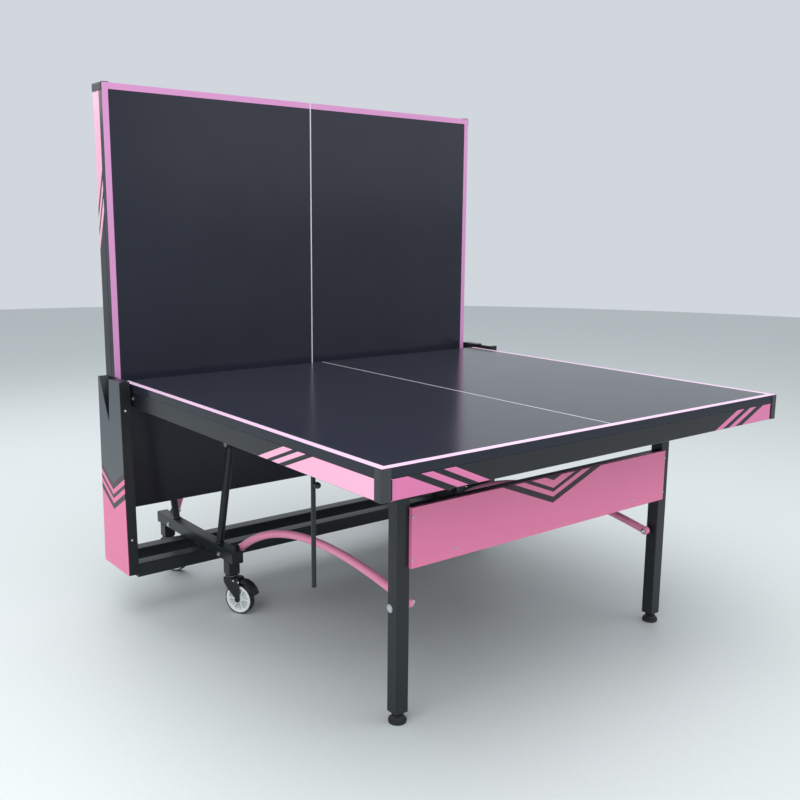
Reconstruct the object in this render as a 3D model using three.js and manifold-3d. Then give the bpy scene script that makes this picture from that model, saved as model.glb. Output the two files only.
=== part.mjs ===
// A centre-folding table tennis table on a four-caster trolley, in the practice position:
// the front half lies flat and the rear half stands up behind the net line as a rebound wall.
// Each half turns on a trolley pivot. A curved link and the folding leg frame make a
// parallelogram with the half, so the legs stay upright at every angle of the fold.
// Millimetres, +Z up. Front is +X, left is -Y. The origin is the middle of the footprint.
import * as THREE from "three";
import { mergeVertices } from "three/addons/utils/BufferGeometryUtils.js";
import Module from "manifold-3d";

const wasm = await Module();
wasm.setup();

// ---- Driving dimensions -------------------------------------------------------------------

const halfLength = 1370;
const tableWidth = 1525;
const topHeight = 760;
const boardThickness = 25;
const netGap = 1; // between the two halves when both lie flat
const seat = 0.3; // gap between pieces that rest on each other
const runClearance = 0.5; // radial gap round a pivot pin

const railHeight = 50; // apron rails under the board's edges
const railWidth = 30;
const railWall = 1.5;
const netRailSetback = 4;

const capProud = 2.5; // moulded corner caps stand outside the board's edges
const capReach = 24;
const capCornerRadius = 7;
const capDrop = 1.5; // from the playing surface down to a cap's top

const raisedEdgeHeight = 315; // net edge of a raised half above the floor
const raisedFaceOffset = 66; // playing face of a raised half from the net line
const foldPinRadius = 6;
const foldEyeRadius = 16;
const foldEarClearance = 2.5; // between a post's eye and the ears on each side of it
const pinBite = 1; // how far a pin runs into the ears that hold it

const underBeamSize = 40;
const underBeamWall = 1.5;
const earThickness = 4;
const foldEarBite = 2; // how far the inner fold ear is let into the under beam's side

const legSize = 40;
const legWall = 1.5;
const legFromEnd = 240.5;
const legFromSide = 238.5;
const legEndHeight = 30; // bottom of the leg tube above the floor
const legPinHeight = 668;
const legTopAbovePin = 16;
const legPinRadius = 5;
const legEarRadius = 14;
const legEarRootHalf = 26;
const legEarClearance = 1;
const foldedFootClearance = 8; // between a folded leg's foot and the fold ears

const footRadius = 24;
const footChamfer = 2;
const footShoulder = 3;
const footPadHeight = 12;
const footStemRadius = 6;
const footNutRadius = 12;
const footNutHeight = 8;
const footStemLength = 60;

const crossbarSize = 30;
const crossbarTop = 575;
const panelTop = 578;
const panelHeight = 158;
const panelDepth = 11.5;
const panelSheet = 1.5;
const panelOverlap = 5; // how far the panel covers each leg

const linkRadius = 12;
const linkWall = 1.5;
const linkEyeRadius = 15;
const linkEyeWidth = 16;
const linkPinX = 246.5; // lower pivot of the curved link on the trolley
const linkPinZ = 214;
const linkPinRadius = 5;
const linkLugRadius = 12; // plate on the caster beam that holds the link's lower pin
const linkToLeg = 20; // centre plane of the link inside the leg's inner face
const linkPinProud = 2; // past the link's inner side
const linkBoltHead = 3; // past the leg's outer face
const linkLugThickness = 3;
const linkHandles = [0.31, 0.7]; // Bezier handles, as shares of the link's span
const linkHandleTilt = 0.02;
const linkRaisedGap = 2.5; // between a raised link's crown and the back of the board

const stayFromEnd = 358; // hanging stay rod, from the board's end
const stayFromSide = 62.5;
const stayPinDrop = 60; // its pin below the playing surface
const stayLength = 329;
const stayRadius = 6;
const stayEyeRadius = 12;
const stayPinRadius = 4;
const stayPinProud = 3;
const stayEyeInset = 1; // the eye is this much thinner than the rod on each side
const stayKnobDrop = 62;
const stayKnobReach = 18;
const stayKnobRadius = 8;
const stayKnobStemRadius = 3;
const stayKnobSpan = [-6, 8]; // the knob's length either side of its reach

const baseRailDepth = 50;
const baseRailHeight = 45;
const baseRailBottom = 130;
const baseRailOffset = 70; // centre line of each rail from the net line
const baseRailWall = 2;

const casterBeamSize = 40;
const casterBeamWall = 2;
const casterBeamLength = 570;
const casterBeamFromSide = 242.5;
const postRadius = 12.5;
const postWall = 1.5;
const postFootX = 165;
const postBoreStart = 4; // the post's bore starts this far inside the beam
const socketSize = 40;

const casterStemX = 243;
const casterHeadroom = 31.7; // from the top of the wheel to the top of the caster
const casterStemRadius = 6;
const casterStemLength = 32;
const casterStemRoom = 2; // above the stem in its socket
const casterRaceRadius = 22;
const casterRaceHeight = 9;
const casterTrail = 30;
const casterCrown = 4;
const forkThickness = 3;
const forkBossRadius = 9;
const forkFrontDrop = 14;
const forkRearDrop = 20;
const forkRearReach = 14;
const forkCrownReach = 4;
const forkInnerGap = 14; // from the wheel's mid plane to the inside of each fork leg
const wheelRadius = 50;
const wheelHalfWidth = 12;
const axleRadius = 4;
const axleHead = 3;
const wheelShoulder = 4;
const casterHeadings = { front_left: 27, front_right: 27, rear_left: 27, rear_right: 27 };

const pedalThickness = 5;
const pedalReach = 84;
const pedalHalfWidth = 13;
const pedalGap = 8; // over the tyre when the brake is off

const coverInset = 14; // from the board's side to the inner plate
const plateThickness = 2;
const coverDepth = 32;
const coverSheet = 2;
const coverBottom = 143;
const coverAboveTop = 11;
const coverBottomHalf = 100;
const coverTopHalf = 87;
const notchFar = 76; // the notch leans: its far edge, its near edge and its point
const notchNear = 4;
const notchPoint = 9;
const notchDepth = 143;

// ---- Finishes -----------------------------------------------------------------------------

function finish(color, roughness, metalness) {
  return new THREE.MeshStandardMaterial({ color, roughness, metalness });
}

const playingBlack = finish(0x3c4048, 0.35, 0);
const frameBlack = finish(0x2c3033, 0.45, 0.3);
const capGrey = finish(0x5b6068, 0.5, 0);
const pinkCoat = finish(0xe27fae, 0.4, 0.1);
const coverGrey = finish(0x4c5156, 0.45, 0.2);
const casterBlack = finish(0x24282a, 0.5, 0.2);
const wheelWhite = finish(0xe4e8e6, 0.5, 0);
const footRubber = finish(0x1d1f20, 0.8, 0);

// ---- Solids -------------------------------------------------------------------------------

function solid(geometry) {
  const bare = geometry.clone();
  bare.deleteAttribute("normal");
  bare.deleteAttribute("uv");
  const merged = mergeVertices(bare, 1e-4);
  const triVerts = new Uint32Array(merged.index.array);
  const vertProperties = merged.attributes.position.array;
  return new wasm.Manifold(new wasm.Mesh({ numProp: 3, vertProperties, triVerts }));
}

function part(name, material, body) {
  const { vertProperties, triVerts } = body.getMesh();
  const geometry = new THREE.BufferGeometry();
  geometry.setAttribute("position", new THREE.BufferAttribute(vertProperties, 3));
  geometry.setIndex(new THREE.BufferAttribute(triVerts, 1));
  const faceted = geometry.toNonIndexed();
  faceted.computeVertexNormals();
  const mesh = new THREE.Mesh(faceted, material);
  mesh.name = name;
  return mesh;
}

function joined(...bodies) {
  return bodies.reduce((whole, next) => whole.add(next));
}

function without(body, ...cuts) {
  return cuts.reduce((rest, cut) => rest.subtract(cut), body);
}

function block([x0, x1], [y0, y1], [z0, z1]) {
  const geometry = new THREE.BoxGeometry(x1 - x0, y1 - y0, z1 - z0);
  geometry.translate((x0 + x1) / 2, (y0 + y1) / 2, (z0 + z1) / 2);
  return solid(geometry);
}

// A box tube, open at both ends of its axis (0 for X, 1 for Y, 2 for Z).
function boxTube(spans, wall, axis) {
  const bore = spans.map(([low, high], i) =>
    i === axis ? [low - 1, high + 1] : [low + wall, high - wall]);
  return block(...spans).subtract(block(...bore));
}

function rod(radius, from, to, sides = 14) {
  const start = new THREE.Vector3(...from);
  const along = new THREE.Vector3(...to).sub(start);
  const geometry = new THREE.CylinderGeometry(radius, radius, along.length(), sides);
  const turn = new THREE.Quaternion().setFromUnitVectors(
    new THREE.Vector3(0, 1, 0), along.clone().normalize());
  geometry.applyQuaternion(turn);
  geometry.translate(...start.addScaledVector(along, 0.5).toArray());
  return solid(geometry);
}

// A pin or disc along Y, centred on a point of the XZ plane.
function crossPin(radius, x, z, [y0, y1], sides = 12) {
  return rod(radius, [x, Math.min(y0, y1), z], [x, Math.max(y0, y1), z], sides);
}

// An outline in the XZ plane, given as a Shape, made solid between two Y planes.
function profile(shape, [y0, y1], curveSegments = 6) {
  const depth = Math.abs(y1 - y0);
  const geometry = new THREE.ExtrudeGeometry(shape, { depth, bevelEnabled: false, curveSegments });
  geometry.rotateX(Math.PI / 2);
  geometry.translate(0, Math.max(y0, y1), 0);
  return solid(geometry);
}

function outline(points) {
  return new THREE.Shape(points.map(([x, z]) => new THREE.Vector2(x, z)));
}

// Moves each edge of an anticlockwise outline inwards by the sheet's thickness.
function inset(points, wall) {
  const count = points.length;
  const edges = points.map(([x, z], i) => {
    const [nextX, nextZ] = points[(i + 1) % count];
    const length = Math.hypot(nextX - x, nextZ - z);
    const nx = -(nextZ - z) / length;
    const nz = (nextX - x) / length;
    return { nx, nz, offset: nx * x + nz * z + wall };
  });
  return points.map((_, i) => {
    const a = edges[(i + count - 1) % count];
    const b = edges[i];
    const det = a.nx * b.nz - a.nz * b.nx;
    return [(a.offset * b.nz - b.offset * a.nz) / det, (a.nx * b.offset - b.nx * a.offset) / det];
  });
}

// A lug with a round lower end, hanging from a wide root: the ear of a pivot bracket.
function ear(x, z, radius, rootHalf, rootZ, span) {
  const shape = new THREE.Shape();
  shape.moveTo(x - rootHalf, rootZ);
  shape.lineTo(x - radius, z);
  shape.absarc(x, z, radius, Math.PI, 2 * Math.PI, false);
  shape.lineTo(x + rootHalf, rootZ);
  shape.closePath();
  return profile(shape, span);
}

// Orders a pair of distances from the middle plane for one side of the table.
function onSide(side, near, far) {
  return side > 0 ? [near, far] : [-far, -near];
}

// ---- Places worked out from the driving dimensions ------------------------------------------

const halfWidth = tableWidth / 2;
const netEdge = netGap / 2;
const endEdge = netEdge + halfLength;
const boardBottom = topHeight - boardThickness;
const railTop = boardBottom - seat;
const railBottom = boardBottom - railHeight;

const foldX = (topHeight - raisedEdgeHeight + raisedFaceOffset) / 2;
const foldZ = topHeight - (foldX - raisedFaceOffset);

const foldEarRootHalf = 2 * foldEyeRadius;
// The leg keeps its distance from the end, or as much less as its foot needs to clear the fold
// ears when the leg lies folded along the under beam.
const legX = Math.max(
  endEdge - legFromEnd, foldX + legPinHeight + foldEarRootHalf + foldedFootClearance);
const legY = halfWidth - legFromSide;
const legInner = legY - legSize / 2;
const legOuter = legY + legSize / 2;
const legTop = legPinHeight + legTopAbovePin;
const legFront = legX + legSize / 2;

const beamY = halfWidth - casterBeamFromSide;
const casterBeamBottom = baseRailBottom + baseRailHeight + seat;
const casterBeamTop = casterBeamBottom + casterBeamSize;
const linkY = legInner - linkToLeg;
const casterHeight = 2 * wheelRadius + casterHeadroom;
const linkLegX = linkPinX + legX - foldX; // the parallelogram's fourth corner, on the leg
const linkLegZ = linkPinZ + legPinHeight - foldZ;

const underBeamBottom = railTop - underBeamSize;
const foldEarGap = postRadius + foldEarClearance;
const legEarGap = legSize / 2 + legEarClearance;
const underBeamInner = Math.min(legY - legEarGap, beamY - foldEarGap - foldEarBite);
const underBeamOuter = legY + legEarGap;
const plateInner = halfWidth + coverInset;
const coverInner = plateInner + plateThickness + seat;
const coverTop = topHeight + coverAboveTop;
const wheelCentreX = casterTrail;

// ---- One table half, drawn lying flat -------------------------------------------------------

function halfParts(row, sideName) {
  const board = block([netEdge, endEdge], [-halfWidth, halfWidth], [boardBottom, topHeight]);
  const railSpanZ = [railBottom, railTop];
  const netRailX = [netEdge + netRailSetback, netEdge + netRailSetback + railWidth];
  const endRailX = [endEdge - railWidth, endEdge];
  const betweenSides = halfWidth - railWidth - seat;
  const acrossY = [-betweenSides, betweenSides];
  const parts = [
    part(row + "_board", playingBlack, board),
    part(row + "_net_rail", frameBlack, boxTube([netRailX, acrossY, railSpanZ], railWall, 1)),
    part(row + "_end_rail", frameBlack, boxTube([endRailX, acrossY, railSpanZ], railWall, 1)),
  ];
  for (const side of [-1, 1]) {
    const name = sideName(side);
    const railY = onSide(side, halfWidth - railWidth, halfWidth);
    let sideRail = boxTube([[netRailX[0], endEdge], railY, railSpanZ], railWall, 0);
    if (side < 0) sideRail = joined(sideRail, stayPin(side));
    parts.push(
      part(row + "_side_rail_" + name, frameBlack, sideRail),
      part(row + "_end_cap_" + name, capGrey, endCap(side)),
      part(row + "_net_cap_" + name, capGrey, netCap(side)),
      part(row + "_under_beam_" + name, frameBlack, underBeam(side, netRailX[1], endRailX[0])),
    );
  }
  return parts;
}

function stayPin(side) {
  const inner = halfWidth - stayFromSide - stayRadius - stayPinProud;
  const span = onSide(side, inner, halfWidth - railWidth / 2);
  return crossPin(stayPinRadius, endEdge - stayFromEnd, topHeight - stayPinDrop, span, 16);
}

// An angle with a rounded corner that wraps the board and both rails.
function endCap(side) {
  const outerX = endEdge + capProud;
  const outerY = halfWidth + capProud;
  const innerX = endEdge + seat;
  const innerY = halfWidth + seat;
  const shape = new THREE.Shape();
  shape.moveTo(endEdge - capReach, innerY);
  shape.lineTo(innerX, innerY);
  shape.lineTo(innerX, halfWidth - capReach);
  shape.lineTo(outerX, halfWidth - capReach);
  shape.lineTo(outerX, outerY - capCornerRadius);
  shape.absarc(outerX - capCornerRadius, outerY - capCornerRadius, capCornerRadius, 0, Math.PI / 2);
  shape.lineTo(endEdge - capReach, outerY);
  shape.closePath();
  const depth = topHeight - capDrop - railBottom;
  const geometry = new THREE.ExtrudeGeometry(shape, { depth, bevelEnabled: false, curveSegments: 6 });
  geometry.translate(0, 0, railBottom);
  const body = solid(geometry);
  return side > 0 ? body : body.mirror([0, 1, 0]);
}

// The net end's cap: a side plate with a tongue in front of the net rail, behind the net line.
function netCap(side) {
  const sidePlate = block(
    [netEdge, netEdge + capReach],
    onSide(side, halfWidth + seat, halfWidth + capProud),
    [railBottom, topHeight - capDrop]);
  const tongue = block(
    [netEdge, netEdge + netRailSetback - seat],
    onSide(side, halfWidth - capReach, halfWidth + capProud),
    [railBottom, boardBottom - seat]);
  return joined(sidePlate, tongue);
}

// A long tube under the board with ears for the fold pivot and for the leg pivot.
function underBeam(side, fromX, toX) {
  const beamSpan = onSide(side, underBeamInner, underBeamOuter);
  const spans = [[fromX + seat, toX - seat], beamSpan, [underBeamBottom, railTop]];
  let body = boxTube(spans, underBeamWall, 0);
  const root = underBeamBottom + underBeamWall;
  for (const reach of [-foldEarGap - earThickness, foldEarGap]) {
    const span = onSide(side, beamY + reach, beamY + reach + earThickness);
    body = body.add(ear(foldX, foldZ, foldEyeRadius, foldEarRootHalf, root, span));
  }
  const foldPin = onSide(side, beamY - foldEarGap - pinBite, beamY + foldEarGap + pinBite);
  body = body.add(crossPin(foldPinRadius, foldX, foldZ, foldPin));
  for (const reach of [-legEarGap - earThickness, legEarGap]) {
    const span = onSide(side, legY + reach, legY + reach + earThickness);
    const earRoot = underBeamBottom + underBeamSize / 2;
    body = body.add(ear(legX, legPinHeight, legEarRadius, legEarRootHalf, earRoot, span));
  }
  const legPin = onSide(side, legY - legEarGap - pinBite, legY + legEarGap + pinBite);
  return body.add(crossPin(legPinRadius, legX, legPinHeight, legPin));
}

// ---- The folding leg frame ------------------------------------------------------------------

function legParts(row, sideName) {
  const crossX = [legFront - crossbarSize, legFront];
  const crossY = [-legInner + seat, legInner - seat];
  const crossbar = boxTube([crossX, crossY, [crossbarTop - crossbarSize, crossbarTop]], legWall, 1);
  const panelX = [legFront + seat, legFront + seat + panelDepth];
  const panelHalf = legInner + panelOverlap;
  const panelZ = [panelTop - panelHeight, panelTop];
  const tray = without(
    block(panelX, [-panelHalf, panelHalf], panelZ),
    block(
      [panelX[0] - 1, panelX[1] - panelSheet],
      [-panelHalf + panelSheet, panelHalf - panelSheet],
      [panelZ[0] + panelSheet, panelZ[1] - panelSheet]));
  const parts = [
    part(row + "_leg_crossbar", frameBlack, crossbar),
    part(row + "_leg_panel", pinkCoat, tray),
  ];
  for (const side of [-1, 1]) {
    const span = onSide(side, legInner, legOuter);
    const tube = boxTube([[legX - legSize / 2, legFront], span, [legEndHeight, legTop]], legWall, 2);
    const bore = onSide(side, legInner - 1, legOuter + 1);
    const drilled = tube.subtract(crossPin(legPinRadius + runClearance, legX, legPinHeight, bore));
    const bolt = onSide(side, linkY - linkRadius - linkPinProud, legOuter + linkBoltHead);
    const leg = drilled.add(crossPin(linkPinRadius, linkLegX, linkLegZ, bolt));
    parts.push(part(row + "_leg_" + sideName(side), frameBlack, leg));
  }
  return parts;
}

// A levelling foot: rubber pad, nut and a screw that runs up inside the leg tube.
function foot(side) {
  const nutTop = footPadHeight + footNutHeight;
  const points = [
    [0, 0], [footRadius - footChamfer, 0], [footRadius, footChamfer],
    [footRadius, footPadHeight - footShoulder],
    [footNutRadius, footPadHeight], [footNutRadius, nutTop], [footStemRadius, nutTop],
    [footStemRadius, nutTop + footStemLength], [0, nutTop + footStemLength],
  ];
  const geometry = new THREE.LatheGeometry(points.map(([r, z]) => new THREE.Vector2(r, z)), 16);
  geometry.rotateX(Math.PI / 2);
  geometry.translate(legX, side * legY, 0);
  return solid(geometry);
}

// ---- The curved link ------------------------------------------------------------------------

function link(side) {
  const span = linkLegX - linkPinX;
  const rise = linkPinX - raisedFaceOffset - boardThickness - linkRadius - linkRaisedGap;
  const crown = linkPinZ + rise;
  const handle = 4 / 3; // lifts the Bezier handles so that the curve's middle reaches the crown
  const lowEnd = new THREE.Vector3(linkPinX, side * linkY, linkPinZ);
  const highEnd = new THREE.Vector3(linkLegX, side * linkY, linkLegZ);
  const middle = (lowEnd.z + highEnd.z) / 2;
  const lift = middle + handle * (crown - middle);
  const path = new THREE.CubicBezierCurve3(
    lowEnd,
    new THREE.Vector3(linkPinX + linkHandles[0] * span, side * linkY, lift + linkHandleTilt * span),
    new THREE.Vector3(linkPinX + linkHandles[1] * span, side * linkY, lift - linkHandleTilt * span),
    highEnd);
  const tube = (radius, curveSegments) => {
    const section = new THREE.Shape().absarc(0, 0, radius, 0, 2 * Math.PI);
    const options = { steps: 14, curveSegments, extrudePath: path, bevelEnabled: false };
    return solid(new THREE.ExtrudeGeometry(section, options));
  };
  const eyeSpan = onSide(side, linkY - linkEyeWidth / 2, linkY + linkEyeWidth / 2);
  const boreSpan = onSide(side, linkY - linkRadius - 1, linkY + linkRadius + 1);
  let body = tube(linkRadius, 6);
  for (const end of [lowEnd, highEnd])
    body = body.add(crossPin(linkEyeRadius, end.x, end.z, eyeSpan));
  body = body.subtract(tube(linkRadius - linkWall, 3));
  for (const end of [lowEnd, highEnd])
    body = body.subtract(crossPin(linkPinRadius + runClearance, end.x, end.z, boreSpan));
  return body;
}

// ---- The hanging stay rod -------------------------------------------------------------------

function stayRod(side) {
  const x = endEdge - stayFromEnd;
  const y = side * (halfWidth - stayFromSide);
  const z = topHeight - stayPinDrop;
  const eyeSpan = [y - stayRadius + stayEyeInset, y + stayRadius - stayEyeInset];
  const knobZ = z - stayKnobDrop;
  const knobX = x + stayKnobReach;
  const body = joined(
    rod(stayRadius, [x, y, z - stayEyeRadius + 2], [x, y, z - stayLength], 12),
    crossPin(stayEyeRadius, x, z, eyeSpan),
    rod(stayKnobStemRadius, [x, y, knobZ], [knobX, y, knobZ], 8),
    rod(stayKnobRadius, [knobX + stayKnobSpan[0], y, knobZ], [knobX + stayKnobSpan[1], y, knobZ], 16));
  const boreSpan = [y - stayRadius - stayPinProud, y + stayRadius + stayPinProud];
  return body.subtract(crossPin(stayPinRadius + runClearance, x, z, boreSpan, 16));
}

// ---- The trolley ----------------------------------------------------------------------------

// A welded side frame: caster beam, two leaning posts with pivot eyes, two caster sockets.
function sideFrame(side) {
  const beamEnd = casterBeamLength / 2;
  const y = side * beamY;
  const beamSpan = onSide(side, beamY - casterBeamSize / 2, beamY + casterBeamSize / 2);
  const eyeSpan = onSide(side, beamY - postRadius, beamY + postRadius);
  let body = block([-beamEnd, beamEnd], beamSpan, [casterBeamBottom, casterBeamTop]);
  for (const end of [-1, 1]) {
    const root = [end * postFootX, y, casterBeamTop - casterBeamWall / 2];
    body = joined(body,
      rod(postRadius, root, [end * foldX, y, foldZ]),
      crossPin(foldEyeRadius, end * foldX, foldZ, eyeSpan),
      block(
        [end * casterStemX - socketSize / 2, end * casterStemX + socketSize / 2],
        [y - socketSize / 2, y + socketSize / 2],
        [casterHeight + seat, casterBeamBottom + casterBeamWall / 2]));
  }
  body = body.subtract(block(
    [-beamEnd - 1, beamEnd + 1],
    beamSpan.map((edge, i) => edge + (i ? -casterBeamWall : casterBeamWall)),
    [casterBeamBottom + casterBeamWall, casterBeamTop - casterBeamWall]));
  for (const end of [-1, 1]) {
    const hollowFoot = [end * postFootX, y, casterBeamTop - casterBeamWall - postBoreStart];
    const stemTop = casterHeight + casterStemLength + casterStemRoom;
    const boreSpan = onSide(side, beamY - postRadius - 1, beamY + postRadius + 1);
    body = without(body,
      rod(postRadius - postWall, hollowFoot, [end * foldX, y, foldZ]),
      crossPin(foldPinRadius + runClearance, end * foldX, foldZ, boreSpan),
      rod(casterStemRadius + runClearance, [end * casterStemX, y, casterHeight - 1],
        [end * casterStemX, y, stemTop]));
    const beamInner = beamY - casterBeamSize / 2;
    const lugSpan = onSide(side, beamInner - linkLugThickness, beamInner + casterBeamWall / 2);
    const pinSpan = onSide(side, linkY - linkRadius - linkPinProud, beamInner);
    body = joined(body,
      crossPin(linkLugRadius, end * linkPinX, linkPinZ, lugSpan),
      crossPin(linkPinRadius, end * linkPinX, linkPinZ, pinSpan));
  }
  return body;
}

const coverOutline = [
  [-coverBottomHalf, coverBottom], [coverBottomHalf, coverBottom], [coverTopHalf, coverTop],
  [notchNear, coverTop], [-notchPoint, coverTop - notchDepth], [-notchFar, coverTop],
  [-coverTopHalf, coverTop],
];

// An end cover of folded sheet, open towards the table, with a leaning notch between two prongs.
// The right cover is the left one turned half way round.
function sideCover(side) {
  const far = coverInner + coverDepth;
  const points = side < 0 ? coverOutline : coverOutline.map(([x, z]) => [-x, z]).reverse();
  const shell = profile(outline(points), onSide(side, coverInner, far));
  const hollow = profile(
    outline(inset(points, coverSheet)),
    onSide(side, coverInner - 1, far - coverSheet));
  return shell.subtract(hollow);
}

function innerPlate(side) {
  const points = coverOutline.filter(([x]) => Math.abs(x) >= coverTopHalf);
  return profile(outline(points), onSide(side, plateInner, plateInner + plateThickness));
}

function baseRail(end) {
  const x = end * baseRailOffset;
  const reach = plateInner - seat;
  return boxTube([
    [x - baseRailDepth / 2, x + baseRailDepth / 2],
    [-reach, reach],
    [baseRailBottom, baseRailBottom + baseRailHeight],
  ], baseRailWall, 1);
}

// ---- Casters, drawn with the stem on the Z axis and trailing towards +X ----------------------

function casterFork() {
  const raceBottom = casterHeight - casterRaceHeight;
  const crownBottom = raceBottom - casterCrown;
  const outer = forkInnerGap + forkThickness;
  const crownEnd = wheelCentreX + forkCrownReach;
  const crown = block([-casterRaceRadius, crownEnd], [-outer, outer], [crownBottom, raceBottom]);
  const cheek = new THREE.Shape();
  cheek.moveTo(-casterRaceRadius, raceBottom);
  cheek.lineTo(-casterRaceRadius, crownBottom - forkFrontDrop);
  cheek.lineTo(wheelCentreX - forkBossRadius, wheelRadius);
  cheek.absarc(wheelCentreX, wheelRadius, forkBossRadius, Math.PI, 2 * Math.PI, false);
  cheek.lineTo(wheelCentreX + forkRearReach, crownBottom - forkRearDrop);
  cheek.lineTo(crownEnd, raceBottom);
  cheek.closePath();
  return joined(
    rod(casterStemRadius, [0, 0, raceBottom], [0, 0, casterHeight + casterStemLength]),
    rod(casterRaceRadius, [0, 0, raceBottom - 1], [0, 0, casterHeight], 16),
    crown,
    profile(cheek, [forkInnerGap, outer]),
    profile(cheek, [-outer, -forkInnerGap]),
    crossPin(axleRadius, wheelCentreX, wheelRadius, [-outer - axleHead, outer + axleHead]));
}

function casterWheel() {
  const bore = axleRadius + runClearance;
  const points = [
    [bore, -wheelHalfWidth], [wheelRadius - wheelShoulder, -wheelHalfWidth],
    [wheelRadius, -wheelHalfWidth + wheelShoulder], [wheelRadius, wheelHalfWidth - wheelShoulder],
    [wheelRadius - wheelShoulder, wheelHalfWidth], [bore, wheelHalfWidth], [bore, -wheelHalfWidth],
  ];
  const geometry = new THREE.LatheGeometry(points.map(([r, y]) => new THREE.Vector2(r, y)), 24);
  geometry.translate(wheelCentreX, 0, wheelRadius);
  return solid(geometry);
}

// The brake pedal arches over the tyre behind the fork and hinges at the crown's rear edge.
function casterPedal() {
  const inner = wheelRadius + pedalGap;
  const outer = inner + pedalThickness;
  const hingeX = wheelCentreX + forkCrownReach + pedalThickness / 2 + seat;
  const start = Math.acos((hingeX - wheelCentreX - pedalThickness / 2) / inner);
  const stop = Math.acos((pedalReach - wheelCentreX) / outer);
  const arm = new THREE.Shape();
  arm.absarc(wheelCentreX, wheelRadius, outer, stop, start, false);
  arm.absarc(wheelCentreX, wheelRadius, inner, start, stop, true);
  arm.closePath();
  return profile(arm, [-pedalHalfWidth, pedalHalfWidth]);
}

function caster(place, x, y, heading) {
  const group = new THREE.Group();
  group.position.set(x, y, 0);
  group.rotation.z = THREE.MathUtils.degToRad(heading);
  group.add(
    part("caster_fork_" + place, casterBlack, casterFork()),
    part("caster_wheel_" + place, wheelWhite, casterWheel()),
    part("caster_pedal_" + place, casterBlack, casterPedal()));
  return group;
}

// ---- Putting it together --------------------------------------------------------------------

// A group that turns its parts about a line through (x, z) along Y.
function turned(x, z, angle, parts) {
  const pivot = new THREE.Group();
  pivot.position.set(x, 0, z);
  pivot.rotation.y = -angle;
  const back = new THREE.Group();
  back.position.set(-x, 0, -z);
  back.add(...parts);
  pivot.add(back);
  return pivot;
}

// One half with its legs, feet and links. raised turns the half up by a quarter turn.
function halfAssembly(row, facing, raised) {
  const angle = raised ? Math.PI / 2 : 0;
  const sideName = side => (side * facing < 0 ? "left" : "right");
  const feet = [-1, 1].map(side => part(row + "_foot_" + sideName(side), footRubber, foot(side)));
  const links = [-1, 1].map(side => part(row + "_link_" + sideName(side), pinkCoat, link(side)));
  const stay = part(row + "_stay_rod", frameBlack, stayRod(-1));
  const stayX = endEdge - stayFromEnd;
  const stayZ = topHeight - stayPinDrop;
  const legs = turned(legX, legPinHeight, -angle, [...legParts(row, sideName), ...feet]);
  const half = turned(foldX, foldZ, angle, [
    ...halfParts(row, sideName), legs, turned(stayX, stayZ, -angle, [stay]),
  ]);
  const group = new THREE.Group();
  group.add(half, turned(linkPinX, linkPinZ, angle, links));
  group.rotation.z = facing < 0 ? Math.PI : 0;
  return group;
}

const table = new THREE.Group();
table.add(halfAssembly("front", 1, false), halfAssembly("rear", -1, true));
for (const side of [-1, 1]) {
  const name = side < 0 ? "left" : "right";
  table.add(
    part("side_frame_" + name, frameBlack, sideFrame(side)),
    part("side_cover_" + name, coverGrey, sideCover(side)),
    part("inner_plate_" + name, frameBlack, innerPlate(side)));
  for (const [row, end] of [["front", 1], ["rear", -1]]) {
    const place = row + "_" + name;
    table.add(caster(place, end * casterStemX, side * beamY, casterHeadings[place]));
  }
}
table.add(part("base_rail_front", frameBlack, baseRail(1)));
table.add(part("base_rail_rear", frameBlack, baseRail(-1)));

const footprint = new THREE.Box3().setFromObject(table, true);
const group = new THREE.Group();
table.position.x = -(footprint.min.x + footprint.max.x) / 2;
group.add(table);
export default group;
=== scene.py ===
# A folding table tennis table on casters, set up for practice: the front half lies flat and the
# rear half stands up behind the net line. Metres, +Z up, front +X, left -Y.
import math

import bmesh
import bpy
from mathutils import Matrix, Vector


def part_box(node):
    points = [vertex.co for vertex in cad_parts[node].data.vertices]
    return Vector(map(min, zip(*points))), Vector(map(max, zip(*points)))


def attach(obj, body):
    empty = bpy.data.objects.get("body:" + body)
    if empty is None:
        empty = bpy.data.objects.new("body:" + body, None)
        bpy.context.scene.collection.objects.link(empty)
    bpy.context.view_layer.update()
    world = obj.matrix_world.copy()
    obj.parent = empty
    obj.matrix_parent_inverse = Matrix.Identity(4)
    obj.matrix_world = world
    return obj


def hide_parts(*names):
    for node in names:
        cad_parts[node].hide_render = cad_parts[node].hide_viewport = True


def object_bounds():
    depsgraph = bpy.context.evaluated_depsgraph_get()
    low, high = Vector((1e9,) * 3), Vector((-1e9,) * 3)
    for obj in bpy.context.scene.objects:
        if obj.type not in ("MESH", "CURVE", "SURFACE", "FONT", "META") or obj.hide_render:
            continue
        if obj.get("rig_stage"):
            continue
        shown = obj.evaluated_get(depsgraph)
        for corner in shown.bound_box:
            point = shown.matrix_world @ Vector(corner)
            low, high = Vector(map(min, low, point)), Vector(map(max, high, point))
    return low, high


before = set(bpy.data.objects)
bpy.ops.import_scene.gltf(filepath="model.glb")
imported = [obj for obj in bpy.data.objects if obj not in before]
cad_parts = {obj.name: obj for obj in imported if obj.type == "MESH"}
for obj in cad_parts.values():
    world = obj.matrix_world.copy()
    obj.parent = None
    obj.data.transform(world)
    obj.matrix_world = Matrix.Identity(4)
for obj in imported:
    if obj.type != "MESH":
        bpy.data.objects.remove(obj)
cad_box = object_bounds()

# ---- The studio ----------------------------------------------------------------------------
# A round pale matt floor in a plain soft white surround, under one broad soft lamp, with three
# weaker ones about the table. The camera stands off the table's front left corner.
scene = bpy.context.scene
scene.view_settings.view_transform = "Standard"

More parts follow.
